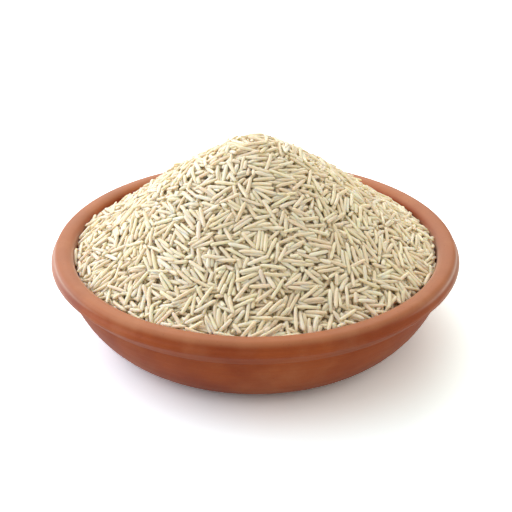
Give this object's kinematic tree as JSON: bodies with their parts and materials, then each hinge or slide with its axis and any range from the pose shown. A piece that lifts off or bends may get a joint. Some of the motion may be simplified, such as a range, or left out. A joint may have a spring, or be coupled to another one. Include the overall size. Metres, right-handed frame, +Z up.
{
  "type": "bowl of raw long-grain rice",
  "caption": "Shallow round bowl of unglazed red clay with a broad rolled rim, heaped to a cone with loose raw long-grain rice.",
  "frame": {"origin": "on the bowl's axis, in the flat underside that it stands on", "axes": "+Z up along the bowl's axis; X and Y are free, since the bowl is round, and the picture looks along +Y"},
  "size_m": [0.14, 0.14, 0.0691],
  "materials": {
    "clay": "unglazed fired red clay, matt, smoothed on the wheel, with a soft dusty sheen",
    "rice": "raw white rice, dry, cream, slightly see-through with chalky streaks"
  },
  "bodies": {
    "root": {"bowl": "clay", "rice": "rice"}
  },
  "joints": []
}
